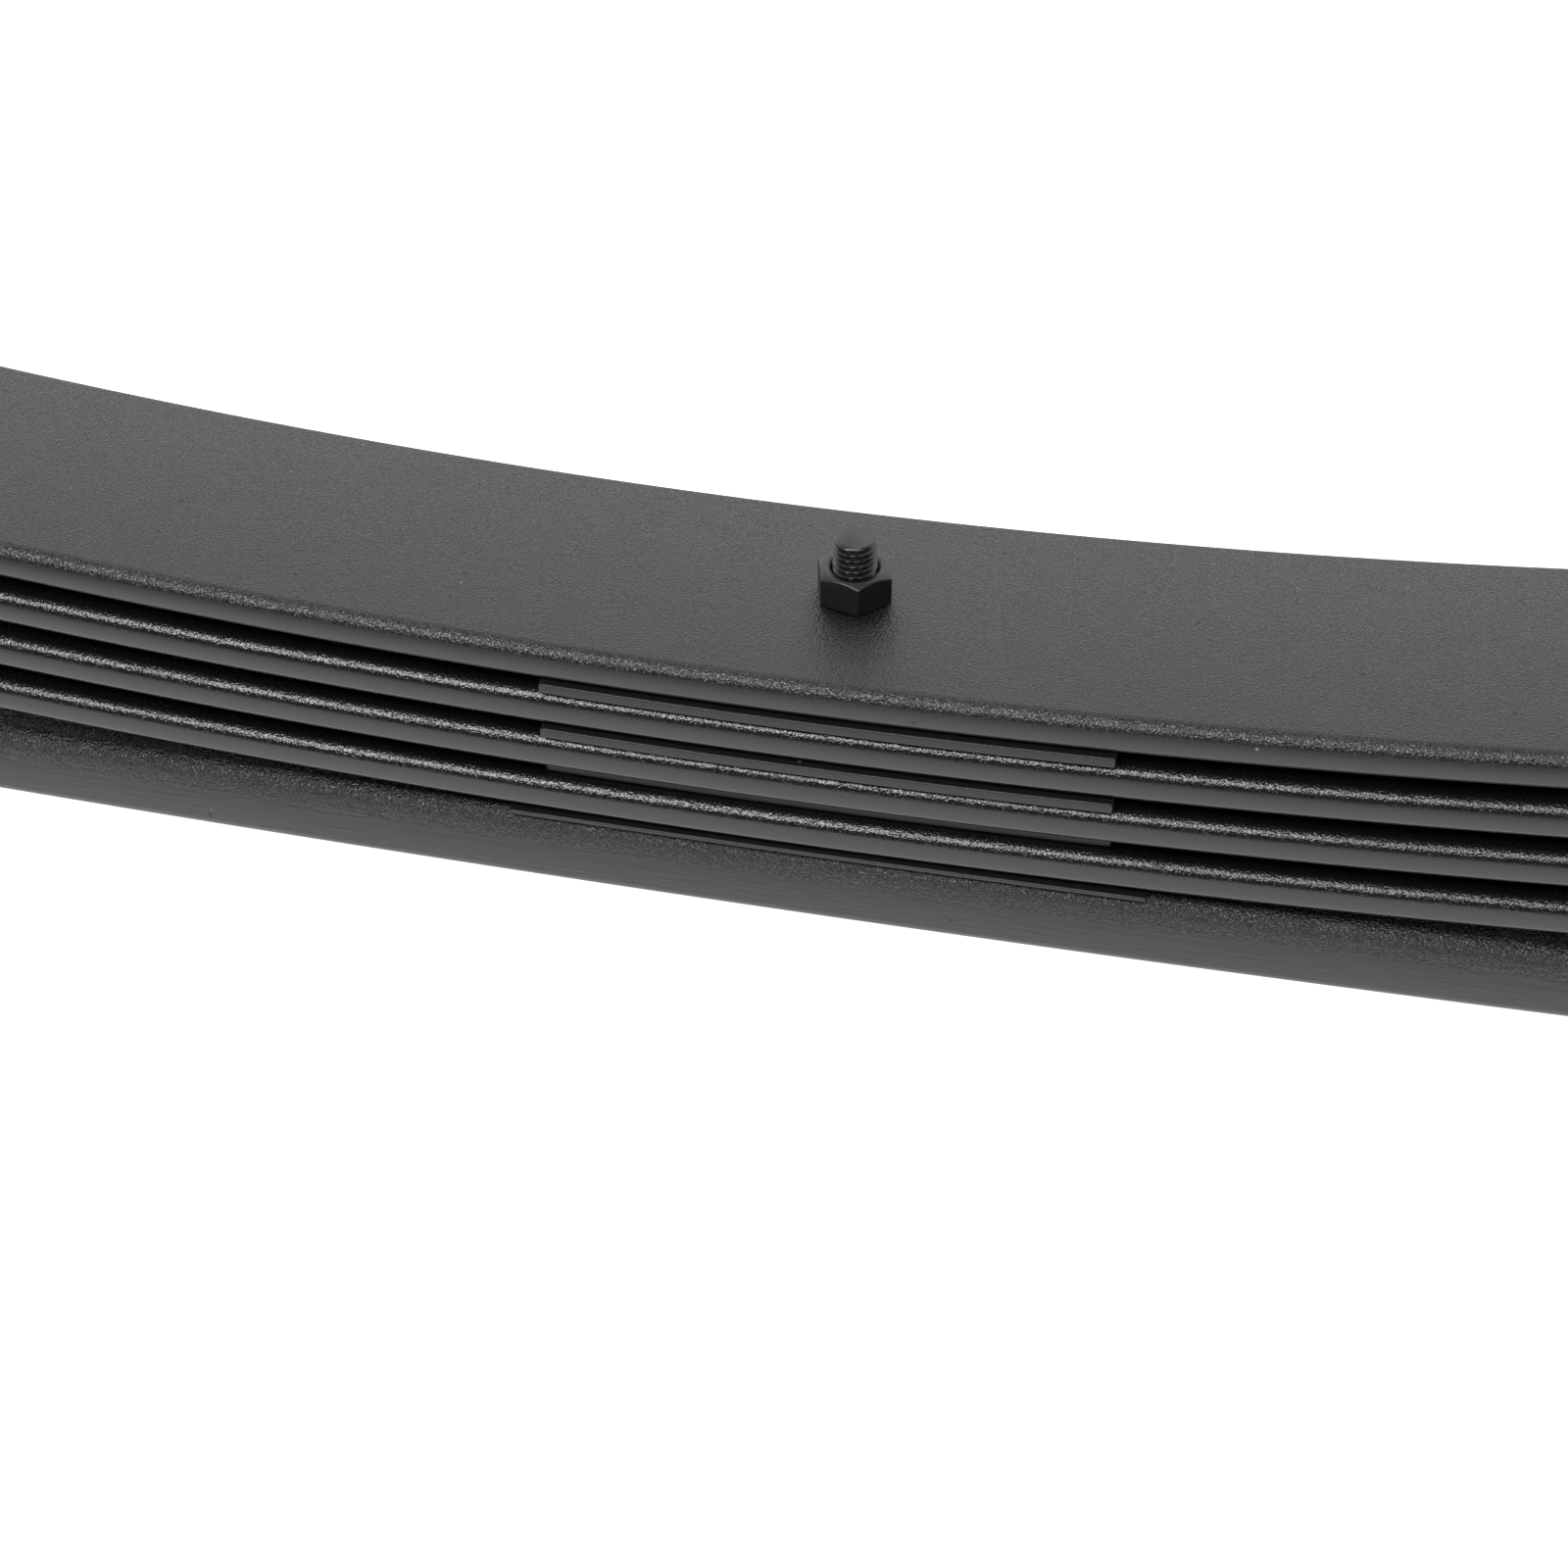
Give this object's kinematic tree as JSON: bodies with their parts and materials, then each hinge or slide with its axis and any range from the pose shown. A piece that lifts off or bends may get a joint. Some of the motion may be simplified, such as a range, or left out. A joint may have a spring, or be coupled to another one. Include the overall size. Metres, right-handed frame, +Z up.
{
  "type": "leaf spring",
  "caption": "Semi-elliptic truck leaf spring with a thick overload leaf, centre liners, a centre bolt, rubber-bushed rolled eyes, rebound clips and tip pads.",
  "frame": {"origin": "centre of the flat bottom end of the centre bolt's locating head, under the middle of the axle seat", "axes": "+X along the spring towards the front eye, +Y across its width, +Z up from the axle seat towards the eyes"},
  "size_m": [1.4325, 0.1041, 0.2824],
  "materials": {
    "leaf_paint": "satin charcoal powder coat with a fine orange-peel grain over spring steel",
    "liner_paint": "the same satin coat over thin steel plate",
    "fastener_paint": "thin satin coat over machined steel",
    "sleeve_steel": "zinc-plated turned steel",
    "rubber": "moulded black rubber",
    "pad_plastic": "moulded black nylon"
  },
  "bodies": {
    "pack_centre": {"main_leaf": "leaf_paint", "second_leaf": "leaf_paint", "third_leaf": "leaf_paint", "fourth_leaf": "leaf_paint", "overload_leaf": "leaf_paint", "liner_1": "liner_paint", "liner_2": "liner_paint", "liner_3": "liner_paint", "liner_4": "liner_paint", "centre_bolt": "fastener_paint", "centre_nut": "fastener_paint"},
    "front_limb": {"front_bush_sleeve": "sleeve_steel", "front_bush_rubber": "rubber", "front_clip_strap": "leaf_paint", "front_clip_rivet": "fastener_paint", "front_clip_bolt": "fastener_paint", "front_clip_spacer": "fastener_paint", "front_clip_nut": "fastener_paint", "front_second_tip_pad": "pad_plastic", "front_third_tip_pad": "pad_plastic", "front_fourth_tip_pad": "pad_plastic"},
    "rear_limb": {"rear_bush_sleeve": "sleeve_steel", "rear_bush_rubber": "rubber", "rear_clip_strap": "leaf_paint", "rear_clip_rivet": "fastener_paint", "rear_clip_bolt": "fastener_paint", "rear_clip_spacer": "fastener_paint", "rear_clip_nut": "fastener_paint", "rear_second_tip_pad": "pad_plastic", "rear_third_tip_pad": "pad_plastic", "rear_fourth_tip_pad": "pad_plastic"},
    "front_sleeve": {"front_inner_sleeve": "sleeve_steel"},
    "rear_sleeve": {"rear_inner_sleeve": "sleeve_steel"}
  },
  "joints": [
    {"name": "front_limb_flex", "type": "hinge", "parent": "pack_centre", "child": "front_limb", "pos_m": [0.20636, 0, 0.08559], "axis": [0, 1, 0], "range_deg": [-3, 17], "stiffness_Nm_per_rad": 7600, "deforming": ["main_leaf", "second_leaf", "third_leaf", "fourth_leaf"]},
    {"name": "rear_limb_flex", "type": "hinge", "parent": "pack_centre", "child": "rear_limb", "pos_m": [-0.23125, 0, 0.08851], "axis": [0, -1, 0], "range_deg": [-3, 17], "stiffness_Nm_per_rad": 6500, "deforming": ["main_leaf", "second_leaf", "third_leaf", "fourth_leaf"]},
    {"name": "front_sleeve_twist", "type": "hinge", "parent": "front_limb", "child": "front_sleeve", "pos_m": [0.63892, 0, 0.21444], "axis": [0, 1, 0], "range_deg": [-25, 25], "stiffness_Nm_per_rad": 60},
    {"name": "rear_sleeve_twist", "type": "hinge", "parent": "rear_limb", "child": "rear_sleeve", "pos_m": [-0.73076, 0, 0.25092], "axis": [0, 1, 0], "range_deg": [-25, 25], "stiffness_Nm_per_rad": 60}
  ]
}
